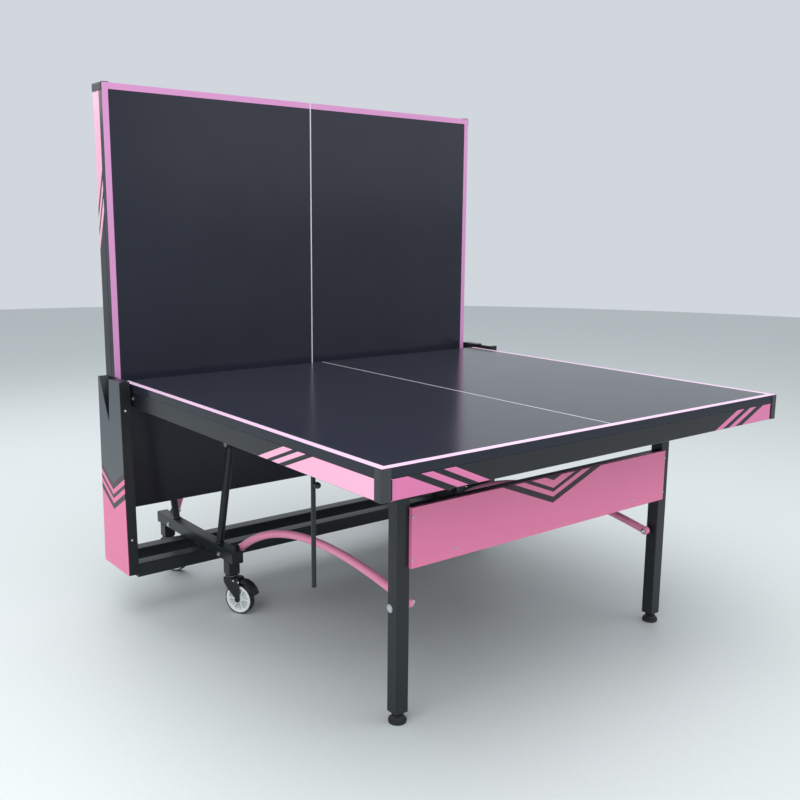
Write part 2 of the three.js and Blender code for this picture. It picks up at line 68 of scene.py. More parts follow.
CAMERA_AT = Vector((2.343, -1.917, 1.263))
turn_angle = math.radians(51.30)
tilt_angle = math.radians(10.56)
roll_angle = math.radians(0.61)
level = Vector((math.cos(turn_angle), math.sin(turn_angle), 0))
ahead = Vector((-math.sin(turn_angle), math.cos(turn_angle), 0)) * math.cos(tilt_angle)
ahead.z = -math.sin(tilt_angle)
upright = level.cross(ahead)
right = level * math.cos(roll_angle) + upright * math.sin(roll_angle)
top = upright * math.cos(roll_angle) - level * math.sin(roll_angle)
camera = bpy.data.objects.new("camera", bpy.data.cameras.new("camera"))
scene.collection.objects.link(camera)
camera.matrix_world = Matrix.Translation(CAMERA_AT) @ Matrix((right, top, -ahead)).transposed().to_4x4()
camera.data.sensor_width = 36
camera.data.lens = 42.4
camera.data.shift_x = -0.0064
scene.camera = camera

surround = bpy.data.worlds.new("surround")
scene.world = surround
surround.use_nodes = True
surround.node_tree.nodes["Background"].inputs["Color"].default_value = (0.74, 0.79, 0.84, 1)
surround.node_tree.nodes["Background"].inputs["Strength"].default_value = 0.86

LAMP_AIM = Vector((0, 0, 0.6))
LAMPS = {
    "ceiling_lamp": ((0.2, -0.2, 4.6), 5.0, 150),
    "key_lamp": ((1.8, -2.9, 3.0), 3.0, 60),
    "fill_lamp": ((3.2, 2.6, 3.0), 3.5, 30),
    "back_lamp": ((-3.6, -0.8, 3.2), 3.0, 40),
}
for name, (place, size, power) in LAMPS.items():
    lamp = bpy.data.objects.new(name, bpy.data.lights.new(name, "AREA"))
    scene.collection.objects.link(lamp)
    lamp.data.size = size
    lamp.data.energy = power
    lamp.location = place
    lamp.rotation_mode = "QUATERNION"
    lamp.rotation_quaternion = (LAMP_AIM - lamp.location).to_track_quat("-Z", "Y")


def paint(red, green, blue):
    """A colour as a paint shop gives it, 0 to 255, as the shader wants it."""
    channels = []
    for value in (red, green, blue):
        share = value / 255
        channels.append(share / 12.92 if share <= 0.04045 else ((share + 0.055) / 1.055) ** 2.4)
    return (*channels, 1)


class Channel:
    """One value over a surface. Shader maths is written with it as with a number."""

    def __init__(self, finish, socket):
        self.finish = finish
        self.socket = socket

    def maths(self, operation, *values):
        return self.finish.node("ShaderNodeMath", {"operation": operation}, dict(enumerate(values)))

    def __add__(self, other):
        return self.maths("ADD", self, other)

    __radd__ = __add__

    def __sub__(self, other):
        return self.maths("SUBTRACT", self, other)

    def __rsub__(self, other):
        return self.maths("SUBTRACT", other, self)

    def __mul__(self, other):
        return self.maths("MULTIPLY", self, other)

    __rmul__ = __mul__

    def __gt__(self, other):
        return self.maths("GREATER_THAN", self, other)

    def __lt__(self, other):
        return self.maths("LESS_THAN", self, other)

    def __or__(self, other):
        return self.maths("MAXIMUM", self, other)

    def __abs__(self):
        return self.maths("ABSOLUTE", self)

    def between(self, low, high):
        return (self > low) * (self < high)


class Finish:
    """A surface finish. A number that is the same all over goes on the shader's own socket."""

    def __init__(self, name, **constants):
        self.material = bpy.data.materials.new(name)
        self.material.use_nodes = True
        self.tree = self.material.node_tree
        self.shader = self.tree.nodes["Principled BSDF"]
        for socket, value in constants.items():
            self.shader.inputs[socket.replace("_", " ")].default_value = value
        self.place = self.node("ShaderNodeTexCoord", output="Object")
        parts = self.node("ShaderNodeSeparateXYZ", inputs={"Vector": self.place}).socket.node
        self.x, self.y, self.z = (Channel(self, parts.outputs[axis]) for axis in "XYZ")

    def node(self, kind, settings=None, inputs=None, output=0):
        made = self.tree.nodes.new(kind)
        for setting, value in (settings or {}).items():
            setattr(made, setting, value)
        for socket, value in (inputs or {}).items():
            if isinstance(value, Channel):
                self.tree.links.new(value.socket, made.inputs[socket])
            else:
                made.inputs[socket].default_value = value
        return Channel(self, made.outputs[output])

    def feed(self, socket, channel):
        self.tree.links.new(channel.socket, self.shader.inputs[socket])

    def noise(self, scale, detail):
        return self.node(
            "ShaderNodeTexNoise", inputs={"Vector": self.place, "Scale": scale, "Detail": detail})

    def mixed(self, share, first, second):
        """first where share is 0, second where it is 1."""
        return self.node(
            "ShaderNodeMix", {"data_type": "RGBA"}, {0: share, 6: first, 7: second}, output=2)

    def relief(self, height, depth, strength):
        self.feed("Normal", self.node(
            "ShaderNodeBump", inputs={"Height": height, "Distance": depth, "Strength": strength}))


floor_finish = Finish("pale_floor", Roughness=0.55)
floor_speckle = floor_finish.noise(90, 4)
floor_finish.feed("Base Color", floor_finish.mixed(
    floor_speckle, paint(200, 205, 204), paint(208, 213, 212)))
floor_mesh = bpy.data.meshes.new("floor")
FLOOR_RADIUS = 12
FLOOR_SIDES = 96
rim = []
for i in range(FLOOR_SIDES):
    angle = 2 * math.pi * i / FLOOR_SIDES
    rim.append((FLOOR_RADIUS * math.cos(angle), FLOOR_RADIUS * math.sin(angle), 0))
floor_mesh.from_pydata(rim, [], [tuple(range(FLOOR_SIDES))])
floor = bpy.data.objects.new("floor", floor_mesh)
floor.data.materials.append(floor_finish.material)
scene.collection.objects.link(floor)
floor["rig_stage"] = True


# ---- Playing boards ------------------------------------------------------------------------
# Two boards of 25 mm fibreboard, rolled with a charcoal satin lacquer that has a fine grain.
# The border and centre lines are sprayed on over a mask. The front border is painted paler, as painted
# light from above.
class Shape:
    """A closed body, or several, being built in the place where it is used."""

    def __init__(self):
        self.mesh = bmesh.new()

    def rings(self, rings, closed=False):
        """Joins rings of points into a skin. One point makes a tip, and the ends are capped."""
        made = [[self.mesh.verts.new(point) for point in ring] for ring in rings]
        pairs = list(zip(made, made[1:]))
        if closed:
            pairs.append((made[-1], made[0]))
        for one, two in pairs:
            count = max(len(one), len(two))
            for i in range(count):
                j = (i + 1) % count
                corners = [one[i % len(one)], one[j % len(one)], two[j % len(two)], two[i % len(two)]]
                self.mesh.faces.new(list(dict.fromkeys(corners)))
        if not closed:
            for ring in (made[0], made[-1]):
                if len(ring) > 2:
                    self.mesh.faces.new(ring)
        return self

    def prism(self, outline, origin, across, up, depth):
        """An outline drawn along across and up, made solid over depth along their normal."""
        origin, across, up = Vector(origin), Vector(across), Vector(up)
        through = across.cross(up) * depth
        base = [origin + across * u + up * v for u, v in outline]
        return self.rings([base, [point + through for point in base]])

    def box(self, low, high):
        outline = [(low[0], low[1]), (high[0], low[1]), (high[0], high[1]), (low[0], high[1])]
        return self.prism(outline, (0, 0, low[2]), (1, 0, 0), (0, 1, 0), high[2] - low[2])

    def turned(self, profile, foot, axis, sides=40, closed=False):
        """A profile of (radius, distance along the axis), turned about the axis through foot."""
        foot, axis = Vector(foot), Vector(axis).normalized()
        side = axis.orthogonal().normalized()
        other = axis.cross(side)
        rings = []
        for radius, along in profile:
            centre = foot + axis * along
            if radius == 0:
                rings.append([centre])
                continue
            angles = [2 * math.pi * i / sides for i in range(sides)]
            rings.append([
                centre + (side * math.cos(a) + other * math.sin(a)) * radius for a in angles])
        return self.rings(rings, closed)

    def hex_bolt(self, seat, axis, size, height):
        """A washer and a hexagon head with a chamfered top, standing on seat."""
        washer = 0.0012
        chamfer = size * 0.16
        self.turned(
            [(0, 0), (size * 1.45, 0), (size * 1.45, washer), (0, washer)], seat, axis, sides=28)
        return self.turned(
            [(0, washer * 0.5), (size, washer * 0.5), (size, height - chamfer * 0.6),
             (size - chamfer, height), (0, height)], seat, axis, sides=6)

    def screw(self, seat, axis, size):
        """A pan-head screw with a driver recess."""
        return self.turned(
            [(0, -0.001), (size, -0.001), (size, size * 0.25), (size * 0.8, size * 0.5),
             (size * 0.42, size * 0.6), (size * 0.36, size * 0.3), (0, size * 0.25)],
            seat, axis, sides=24)

    def cad(self, node):
        """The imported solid's own mesh, with its flat faces merged."""
        start = len(self.mesh.verts)
        touching = 1e-6
        flat = math.radians(0.5)
        self.mesh.from_mesh(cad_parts[node].data)
        self.mesh.verts.ensure_lookup_table()
        bmesh.ops.remove_doubles(self.mesh, verts=self.mesh.verts[start:], dist=touching)
        bmesh.ops.dissolve_limit(
            self.mesh, angle_limit=flat, verts=self.mesh.verts[:], edges=self.mesh.edges[:])
        return self

    def piece(self, name, body, finish, slot, replaces=(), bevel=0.0, segments=2, place=None):
        """Makes the object, rounds its edges by bevel, and ties it to its body."""
        sharp = math.radians(38)
        bmesh.ops.recalc_face_normals(self.mesh, faces=self.mesh.faces[:])
        mesh = bpy.data.meshes.new(name)
        self.mesh.to_mesh(mesh)
        self.mesh.free()
        mesh.materials.append(finish.material)
        made = bpy.data.objects.new(name, mesh)
        scene.collection.objects.link(made)
        mesh.shade_smooth()
        if bevel:
            rounded = made.modifiers.new("rounded_edges", "BEVEL")
            rounded.width = bevel
            rounded.segments = segments
            rounded.limit_method = "ANGLE"
            rounded.angle_limit = sharp
        else:
            mesh.set_sharp_from_angle(angle=sharp)
        made.modifiers.new("flat_faces", "WEIGHTED_NORMAL").keep_sharp = True
        return tied(made, body, replaces, place)


def tied(made, body, replaces=(), place=None):
    """Sets the piece in place, ties it to its body and hides the CAD nodes it replaces."""
    if place is not None:
        made.matrix_world = place
    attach(made, body)
    if replaces:
        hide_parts(*replaces)
    return made


def again(first, name, body, replaces=(), place=None):
    """A second piece of the same pattern, in another place."""
    made = first.copy()
    made.name = name
    made.parent = None
    made.matrix_world = Matrix.Identity(4)
    for key in [key for key in made.keys() if key.startswith("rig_")]:
        del made[key]
    scene.collection.objects.link(made)
    return tied(made, body, replaces, place)


board_low, board_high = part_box("front_board")
NET_GAP = 0.001
FOLD_PIN_REACH = 0.2555
FOLD_PIN_HEIGHT = 0.5705
net_x = board_low.x - NET_GAP / 2
end_x = board_high.x
half_width = board_high.y
board_top = board_high.z
board_bottom = board_low.z

fold_pin = Vector((net_x + FOLD_PIN_REACH, 0, FOLD_PIN_HEIGHT))
to_far_side = (
    Matrix.Translation((net_x, 0, 0)) @ Matrix.Rotation(math.pi, 4, "Z")
    @ Matrix.Translation((-net_x, 0, 0)))
quarter_turn = Matrix.Rotation(-math.pi / 2, 4, "Y")


def swung(pin):
    """A quarter turn upwards about a pin across the table."""
    return Matrix.Translation(pin) @ quarter_turn @ Matrix.Translation(-pin)


half_raised = to_far_side @ swung(fold_pin)

BORDER_LINE = 0.020
CENTRE_LINE = 0.003
LINE_SPREAD = 0.0007
PAINT_DEPTH = 0.0004


def playing_lacquer(name, pink, faded_pink):
    """Charcoal lacquer with a pink border line and a thin white centre line on its top face."""
    lacquer = Finish(name, IOR=1.5, Specular_IOR_Level=0.24)
    on_top = lacquer.z > board_top - PAINT_DEPTH
    border = (abs(lacquer.y) > half_width - BORDER_LINE) | (lacquer.x > end_x - BORDER_LINE)
    centre = abs(lacquer.y) < CENTRE_LINE / 2 + LINE_SPREAD
    line_mask = (border | centre) * on_top
    grain = lacquer.noise(1100, 3)
    drift = lacquer.noise(5, 3)
    charcoal = lacquer.mixed(drift, paint(35, 37, 48), paint(41, 44, 54))
    border_pink = lacquer.mixed(drift, pink, faded_pink)
    line_colour = lacquer.mixed(centre, border_pink, paint(214, 210, 220))
    lacquer.feed("Base Color", lacquer.mixed(line_mask, charcoal, line_colour))
    lacquer.feed("Roughness", 0.14 + drift * 0.05 + grain * 0.04 + line_mask * 0.08)
    lacquer.relief(grain * 0.25 + line_mask, 0.00006, 0.7)
    return lacquer


# The front lacquer's border pinks are paler than the rear's: painted light on the flat half's border, not a
# different paint.
flat_lacquer_painted_light = playing_lacquer("front_lacquer", paint(226, 190, 218), paint(232, 198, 224))
raised_lacquer = playing_lacquer("rear_lacquer", paint(206, 140, 190), paint(214, 150, 198))
Shape().box(board_low, board_high).piece(
    "front_playing_board", "front_half", flat_lacquer_painted_light, "playing_surface", ["front_board"],
    bevel=0.0012)
Shape().box(board_low, board_high).piece(
    "rear_playing_board", "rear_half", raised_lacquer, "playing_surface", ["rear_board"],
    bevel=0.0012, place=half_raised)

# ---- Apron rails ---------------------------------------------------------------------------
# Rolled steel tubes, 30 by 50 mm, powder coated satin black and screwed under the board's
# edges. A pink foil with two slanted stripes is stuck on beside each outer corner.
def rounded_outline(width, height, radius, steps=4):
    """A rectangle about its middle, with rounded corners."""
    outline = []
    for corner, (sx, sy) in enumerate(((1, 1), (-1, 1), (-1, -1), (1, -1))):
        for step in range(steps + 1):
            angle = math.radians(90 * (corner + step / steps))
            outline.append((
                sx * (width / 2 - radius) + radius * math.cos(angle),
                sy * (height / 2 - radius) + radius * math.sin(angle)))
    return outline


def tube_skin(shape, low, high, axis, radius, lip=0.0012):
    """A rounded box tube along one axis, plugged a little way inside each end."""
    low, high = Vector(low), Vector(high)
    middle = (low + high) / 2
    size = high - low
    first, second = [i for i in range(3) if i != axis]
    wall = 0.0016
    least_radius = 0.0004
    rings = []
    stations = (
        (low[axis] + lip, wall), (low[axis], wall), (low[axis], 0),
        (high[axis], 0), (high[axis], wall), (high[axis] - lip, wall))
    for along, inwards in stations:
        ring = []
        outline = rounded_outline(
            size[first] - 2 * inwards, size[second] - 2 * inwards, max(radius - inwards, least_radius))
        for u, v in outline:
            point = [0, 0, 0]
            point[axis] = along
            point[first] = middle[first] + u
            point[second] = middle[second] + v
            ring.append(point)
        rings.append(ring)
    return shape.rings(rings)


def coat(name, colour, lighter, roughness=0.36):
    """Powder coat: a faint orange peel over slow changes of shade and gloss."""
    made = Finish(name, IOR=1.5, Specular_IOR_Level=0.36, Coat_Weight=0.1, Coat_Roughness=0.2)
    peel = made.noise(1300, 2)
    cloud = made.noise(7, 4)
    made.colour = made.mixed(cloud, colour, lighter)
    made.feed("Base Color", made.colour)
    made.feed("Roughness", roughness - 0.05 + cloud * 0.1 + peel * 0.05)
    made.relief(peel, 0.00008, 0.35)
    made.cloud = cloud
    return made


frame_coat = coat("satin_black_coat", paint(22, 28, 31), paint(29, 35, 38))
PINK_FOIL = paint(226, 124, 172)
PALE_FOIL = paint(255, 183, 213)
apron_coat = coat("apron_coat_with_foil", paint(20, 24, 29), paint(28, 32, 37), 0.27)
rail_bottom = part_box("front_end_rail")[0].z
RAIL_HEIGHT = board_bottom - rail_bottom
FACE_SKIN = 0.0004
SIDE_LEAN = 0.128
SIDE_FOIL = 0.389
SIDE_STRIPES = ((0.419, 0.452), (0.476, 0.518))
END_LEAN = 0.112
END_FOIL = 0.180
END_STRIPES = ((0.216, 0.250), (0.281, 0.317))


def striped(slant, length, stripes):
    """1 over a length from where slant starts, and in each of the stripes beyond it."""
    mask = slant < length
    for low, high in stripes:
        mask = mask | slant.between(low, high)
    return mask


lift = (apron_coat.z - rail_bottom) * (1 / RAIL_HEIGHT)
from_end = end_x - apron_coat.x
on_side = abs(apron_coat.y) > half_width - FACE_SKIN
side_foil = striped(from_end + lift * SIDE_LEAN, SIDE_FOIL, SIDE_STRIPES)
from_side = half_width - abs(apron_coat.y)
on_end = apron_coat.x > end_x - FACE_SKIN
end_foil = striped(from_side + lift * END_LEAN, END_FOIL, END_STRIPES)
foil_mask = side_foil * on_side | end_foil * on_end
apron_coat.feed("Base Color", apron_coat.mixed(
    foil_mask, apron_coat.colour, apron_coat.mixed(on_side, PINK_FOIL, PALE_FOIL)))

RAIL_WIDTH = 0.030
NET_SETBACK = 0.004
SEAT = 0.0003
RAIL_RADIUS = 0.0022
net_rail_x = board_low.x + NET_SETBACK
rail_top = board_bottom - SEAT
across = half_width - RAIL_WIDTH - SEAT
STAY_PIN_REACH = 1.0125
STAY_PIN = Vector((net_x + STAY_PIN_REACH, -0.700, 0.700))
STAY_PIN_ROOT = -0.7475
STAY_PIN_LENGTH = 0.046
STAY_PIN_HEAD = -0.6925
rails = {
    "end_rail": ((end_x - RAIL_WIDTH, -across, rail_bottom), (end_x, across, rail_top), 1),
    "net_rail": ((net_rail_x, -across, rail_bottom), (net_rail_x + RAIL_WIDTH, across, rail_top), 1),
    "side_rail_left": (
        (net_rail_x, -half_width, rail_bottom), (end_x, RAIL_WIDTH - half_width, rail_top), 0),
    "side_rail_right": (
        (net_rail_x, half_width - RAIL_WIDTH, rail_bottom), (end_x, half_width, rail_top), 0),
}
OTHER_SIDE = {"left": "right", "right": "left"}


def rear_name(node):
    """The rear half's node that a front one becomes: the sides change places."""
    name = node.replace("front", "rear", 1)
    for side, other in OTHER_SIDE.items():
        if node.endswith(side):
            return name[:-len(side)] + other
    return name


for name, (low, high, axis) in rails.items():
    shape = tube_skin(Shape(), low, high, axis, RAIL_RADIUS)
    if name == "side_rail_left":
        shape.turned(
            [(0, 0), (0.004, 0), (0.004, STAY_PIN_LENGTH), (0, STAY_PIN_LENGTH)],
            (STAY_PIN.x, STAY_PIN_ROOT, STAY_PIN.z), (0, 1, 0), sides=24)
        shape.turned(
            [(0, 0), (0.007, 0), (0.007, 0.0022), (0, 0.003)],
            (STAY_PIN.x, STAY_PIN_HEAD, STAY_PIN.z), (0, 1, 0), sides=24)
    rail = shape.piece(
        "front_" + name + "_tube", "front_half", apron_coat, "frame_black", ["front_" + name])
    other = rear_name("front_" + name)
    again(rail, other + "_tube", "rear_half", [other], half_raised)

# ---- Corner caps ---------------------------------------------------------------------------
# Grey nylon mouldings that wrap the board's corners and close the rails' ends. Those at the
# outer end are pressed on. Those at the net end are thin plates, each held by two screws.
cap_plastic = Finish("grey_nylon", IOR=1.48)
cap_grain = cap_plastic.noise(900, 3)
cap_cloud = cap_plastic.noise(20, 3)
cap_plastic.feed("Base Color", cap_plastic.mixed(cap_cloud, paint(50, 52, 57), paint(59, 61, 66)))
cap_plastic.feed("Roughness", 0.42 + cap_grain * 0.12)
cap_plastic.relief(cap_grain, 0.00007, 0.5)

zinc = Finish("bright_zinc", Metallic=1.0, IOR=1.5)
zinc_stain = zinc.noise(160, 4)
zinc.feed("Base Color", zinc.mixed(zinc_stain, paint(186, 190, 194), paint(222, 225, 228)))
zinc.feed("Roughness", 0.24 + zinc_stain * 0.2)

CAP_PROUD = 0.0025
CAP_REACH = 0.024
CAP_RADIUS = 0.007
CAP_DROP = 0.0015
CAP_STEPS = 12
NET_CAP_SCREW_REACH = 0.013
NET_CAP_SCREW_HEIGHTS = (0.694, 0.716)
RAIL_SCREW_REACH = 0.0775
RAIL_SCREW_HEIGHT = 0.7135
cap_top = board_top - CAP_DROP
net_edge_x = board_low.x
half_fixings = Shape()
for side, sign in (("left", -1), ("right", 1)):
    outer_x = end_x + CAP_PROUD
    outer_y = half_width + CAP_PROUD
    outline = [
        (end_x - CAP_REACH, half_width + SEAT), (end_x + SEAT, half_width + SEAT),
        (end_x + SEAT, half_width - CAP_REACH), (outer_x, half_width - CAP_REACH)]
    for step in range(CAP_STEPS + 1):
        angle = math.radians(90 * step / CAP_STEPS)
        outline.append((
            outer_x - CAP_RADIUS + CAP_RADIUS * math.cos(angle),
            outer_y - CAP_RADIUS + CAP_RADIUS * math.sin(angle)))
    outline.append((end_x - CAP_REACH, outer_y))
    outline = [(x, y * sign) for x, y in outline]
    node = "front_end_cap_" + side
    cap = Shape().prism(outline, (0, 0, rail_bottom), (1, 0, 0), (0, 1, 0), cap_top - rail_bottom).piece(
        node + "_moulding", "front_half", cap_plastic, "corner_cap", [node], bevel=0.0008)
    other = rear_name(node)
    again(cap, other + "_moulding", "rear_half", [other], half_raised)

    near_y, far_y = sorted((sign * (half_width + SEAT), sign * outer_y))
    tongue_low, tongue_high = sorted((sign * (half_width - CAP_REACH), sign * outer_y))
    plate = Shape().box((net_edge_x, near_y, rail_bottom), (net_edge_x + CAP_REACH, far_y, cap_top))
    plate.box(
        (net_edge_x, tongue_low, rail_bottom),
        (net_edge_x + NET_SETBACK - SEAT, tongue_high, board_bottom - SEAT))
    node = "front_net_cap_" + side
    cap = plate.piece(
        node + "_moulding", "front_half", cap_plastic, "corner_cap", [node], bevel=0.0005)
    other = rear_name(node)
    again(cap, other + "_moulding", "rear_half", [other], half_raised)
    outwards = (0, sign, 0)
    for z in NET_CAP_SCREW_HEIGHTS:
        half_fixings.screw((net_edge_x + NET_CAP_SCREW_REACH, sign * outer_y, z), outwards, 0.0038)
    half_fixings.screw(
        (net_x + RAIL_SCREW_REACH, sign * half_width, RAIL_SCREW_HEIGHT), outwards, 0.0052)

# ---- Under beams ---------------------------------------------------------------------------
# Two steel tubes run from rail to rail under each board, on flanges screwed to it. Welded ears
# hold the fold pivot, on which the half tips up, and the leg pivot, both with hexagon bolts.
BEAM_INNER = 0.503
BEAM_OUTER = 0.545
BEAM_BOTTOM = 0.6947
beam_from = net_rail_x + RAIL_WIDTH + SEAT
beam_to = end_x - RAIL_WIDTH - SEAT
POST_Y = 0.520
LEG_Y = 0.524
FOLD_EAR_GAP = 0.015
LEG_EAR_GAP = 0.021
EAR_THICK = 0.004
EAR_SUNK = 0.0015
LEG_PIN_REACH = 1.130
LEG_PIN_HEIGHT = 0.668
FLANGE_FROM_END = 0.02
FLANGE_HALF = 0.016
FLANGE_WING = 0.014
FLANGE_THICK = 0.003
FLANGE_GAP = 0.0004
FLANGE_SCREW = 0.008
leg_pin = Vector((net_x + LEG_PIN_REACH, 0, LEG_PIN_HEIGHT))


def ear_outline(pin, radius, root_half, root_z, steps=20):
    """A lug with a round lower end, hanging from a wide root, in the plane of the side."""
    outline = [(pin.x - root_half, root_z)]
    for step in range(steps + 1):
        angle = math.pi + math.pi * step / steps
        outline.append((pin.x + radius * math.cos(angle), pin.z + radius * math.sin(angle)))
    return outline + [(pin.x + root_half, root_z)]


for side, sign in (("left", -1), ("right", 1)):
    low_y, high_y = sorted((sign * BEAM_INNER, sign * BEAM_OUTER))
    beam = tube_skin(
        Shape(), (beam_from, low_y, BEAM_BOTTOM), (beam_to, high_y, rail_top), 0, 0.003)
    ears = (
        (fold_pin, 0.016, 0.032, POST_Y, FOLD_EAR_GAP, 0.006),
        (leg_pin, 0.014, 0.026, LEG_Y, LEG_EAR_GAP, 0.005))
    for pin, radius, root_half, plane_y, gap, pin_radius in ears:
        outline = ear_outline(pin, radius, root_half, BEAM_BOTTOM + EAR_SUNK)
        for reach in (-gap - EAR_THICK, gap):
            origin = (0, sign * plane_y + reach + EAR_THICK, 0)
            beam.prism(outline, origin, (1, 0, 0), (0, 0, 1), EAR_THICK)
        pin_end = gap + 0.001
        beam.turned(
            [(0, -pin_end), (pin_radius, -pin_end), (pin_radius, pin_end), (0, pin_end)],
            (pin.x, sign * plane_y, pin.z), (0, 1, 0), sides=28)
        for way in (-1, 1):
            face = (pin.x, sign * plane_y + way * (gap + EAR_THICK), pin.z)
            half_fixings.hex_bolt(face, (0, way, 0), size=0.0075, height=0.006)
    for x in (beam_from + FLANGE_FROM_END, beam_to - FLANGE_FROM_END):
        beam.box(
            (x - FLANGE_HALF, low_y - FLANGE_WING, rail_top - FLANGE_THICK),
            (x + FLANGE_HALF, high_y + FLANGE_WING, rail_top - FLANGE_GAP))
        for y in (low_y - FLANGE_SCREW, high_y + FLANGE_SCREW):
            half_fixings.screw((x, y, rail_top - FLANGE_THICK), (0, 0, -1), 0.004)
    node = "front_under_beam_" + side
    made = beam.piece(
        node + "_tube", "front_half", frame_coat, "frame_black", [node], bevel=0.0006)
    other = rear_name(node)
    again(made, other + "_tube", "rear_half", [other], half_raised)
made = half_fixings.piece("front_half_screws", "front_half", zinc, "zinc")
again(made, "rear_half_screws", "rear_half", place=half_raised)

# ---- Folding legs --------------------------------------------------------------------------
# Each half stands on two 40 mm square tubes joined by a crossbar. They turn on the under
# beams, and the curved links keep them upright. A bolt through each leg holds its link.
LEG_SIZE = 0.040
LEG_BOTTOM = 0.030
LEG_TOP = 0.684
LINK_PIN_REACH = 0.2465
LINK_PIN_HEIGHT = 0.214
LINK_Y = 0.484
LINK_PIN_INWARDS = 0.014
LINK_NUT_INWARDS = 0.0085
link_pin = Vector((net_x + LINK_PIN_REACH, 0, LINK_PIN_HEIGHT))
link_leg_pin = link_pin + leg_pin - fold_pin
leg_lift = swung(fold_pin) @ leg_pin - leg_pin
legs_folded = to_far_side @ Matrix.Translation(leg_lift)
leg_fixings = Shape()
CAP_NUT = [
    (0, 0), (0.0084, 0), (0.0084, 0.0045), (0.0076, 0.0052), (0.0072, 0.0054), (0.0066, 0.0078),
    (0.0048, 0.0101), (0.0022, 0.0112), (0, 0.0114)]
for side, sign in (("left", -1), ("right", 1)):
    low_y, high_y = sorted((sign * (LEG_Y - LEG_SIZE / 2), sign * (LEG_Y + LEG_SIZE / 2)))
    leg = tube_skin(
        Shape(), (leg_pin.x - LEG_SIZE / 2, low_y, LEG_BOTTOM),
        (leg_pin.x + LEG_SIZE / 2, high_y, LEG_TOP), 2, 0.0035)
    inner_end = sign * (LINK_Y - LINK_PIN_INWARDS)
    outer_face = sign * (LEG_Y + LEG_SIZE / 2)
    length = abs(outer_face - inner_end)
    leg.turned(
        [(0, 0), (0.005, 0), (0.005, length), (0, length)],
        (link_leg_pin.x, inner_end, link_leg_pin.z), (0, sign, 0), sides=24)
    node = "front_leg_" + side
    made = leg.piece(node + "_tube", "front_legs", frame_coat, "frame_black", [node])
    other = rear_name(node)
    again(made, other + "_tube", "rear_legs", [other], legs_folded)
    leg_fixings.hex_bolt(
        (link_leg_pin.x, outer_face, link_leg_pin.z), (0, sign, 0), size=0.0075, height=0.0029)
    leg_fixings.turned(
        CAP_NUT, (link_leg_pin.x, sign * (LINK_Y - LINK_NUT_INWARDS), link_leg_pin.z),
        (0, -sign, 0), sides=6)

CROSSBAR = 0.030
CROSSBAR_TOP = 0.575
leg_inner = LEG_Y - LEG_SIZE / 2
leg_front = leg_pin.x + LEG_SIZE / 2
bar = tube_skin(
    Shape(), (leg_front - CROSSBAR, -leg_inner + SEAT, CROSSBAR_TOP - CROSSBAR),
    (leg_front, leg_inner - SEAT, CROSSBAR_TOP), 1, 0.003)
made = bar.piece(
    "front_leg_crossbar_tube", "front_legs", frame_coat, "frame_black", ["front_leg_crossbar"])
again(made, "rear_leg_crossbar_tube", "rear_legs", ["rear_leg_crossbar"], legs_folded)

# ---- Leg panels ----------------------------------------------------------------------------
# A tray of 1.5 mm sheet across the legs, coated pink, with dark chevrons printed at the middle
# of its top edge. Screws near its ends hold it to the legs. Two more sit low on its face.
panel_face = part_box("front_leg_panel")[1].x
pink_panel = coat("pink_panel_coat", paint(242, 128, 172), paint(248, 137, 180), 0.34)
CHEVRON_SLOPE = 0.388
WIDE_CHEVRON = (0.5003, 0.5178)
THIN_CHEVRON = (0.5321, 0.5434)
CHEVRON_TIP = 0.5652
INK_SKIN = 0.0012
chevron = pink_panel.z - abs(pink_panel.y) * CHEVRON_SLOPE
chevron_ink = (
    chevron.between(*WIDE_CHEVRON) | chevron.between(*THIN_CHEVRON) | (chevron > CHEVRON_TIP))
ink_mask = chevron_ink * (pink_panel.x > panel_face - INK_SKIN)
INK = paint(48, 30, 40)
pink_panel.feed("Base Color", pink_panel.mixed(ink_mask, pink_panel.colour, INK))
made = Shape().cad("front_leg_panel").piece(
    "front_leg_panel_tray", "front_legs", pink_panel, "pink_coat", ["front_leg_panel"], bevel=0.0006)
again(made, "rear_leg_panel_tray", "rear_legs", ["rear_leg_panel"], legs_folded)
FACE_SCREW = (0.36, 0.4444)
EDGE_SCREW_Y = 0.506
EDGE_SCREW_HEIGHTS = (0.555, 0.443)
for sign in (-1, 1):
    leg_fixings.screw((panel_face, sign * FACE_SCREW[0], FACE_SCREW[1]), (1, 0, 0), 0.0042)
for sign in (-1, 1):
    for z in EDGE_SCREW_HEIGHTS:
        leg_fixings.screw((panel_face, sign * EDGE_SCREW_Y, z), (1, 0, 0), 0.0036)
made = leg_fixings.piece("front_leg_bolts", "front_legs", zinc, "zinc")
again(made, "rear_leg_bolts", "rear_legs", place=legs_folded)

# ---- Levelling feet ------------------------------------------------------------------------
# A ribbed black rubber pad with a moulded collar, and a threaded stem that runs up in the leg.
# The foot is screwed out of the leg to level the table.
rubber = Finish("black_rubber", IOR=1.45)
rubber_grain = rubber.noise(700, 4)
rubber.feed("Base Color", rubber.mixed(rubber.noise(60, 3), paint(30, 31, 32), paint(41, 42, 43)))
rubber.feed("Roughness", 0.62 + rubber_grain * 0.2)
rubber.relief(rubber_grain, 0.0001, 0.6)
PAD_RIBS = 3
RIB_PITCH = 0.0022
pad = [(0, 0), (0.0215, 0), (0.0235, 0.0008), (0.024, 0.002)]
for rib in range(PAD_RIBS):
    base = 0.0025 + rib * RIB_PITCH
    pad += [(0.024, base), (0.0236, base + 0.0006), (0.0236, base + 0.0012), (0.024, base + 0.0018)]
pad += [(0.0235, 0.0095), (0.021, 0.0108), (0.0125, 0.012), (0, 0.012)]
collar = [
    (0, 0.0118), (0.0208, 0.0118), (0.0202, 0.0136), (0.0176, 0.0164), (0.0152, 0.0180),
    (0.0150, 0.0216), (0.0136, 0.0224), (0, 0.0224)]
THREAD_TURNS = 38
THREAD_PITCH = 0.0015
THREAD_FOOT = 0.0222
STEM_TOP = 0.0799
thread = [(0, 0.0219)]
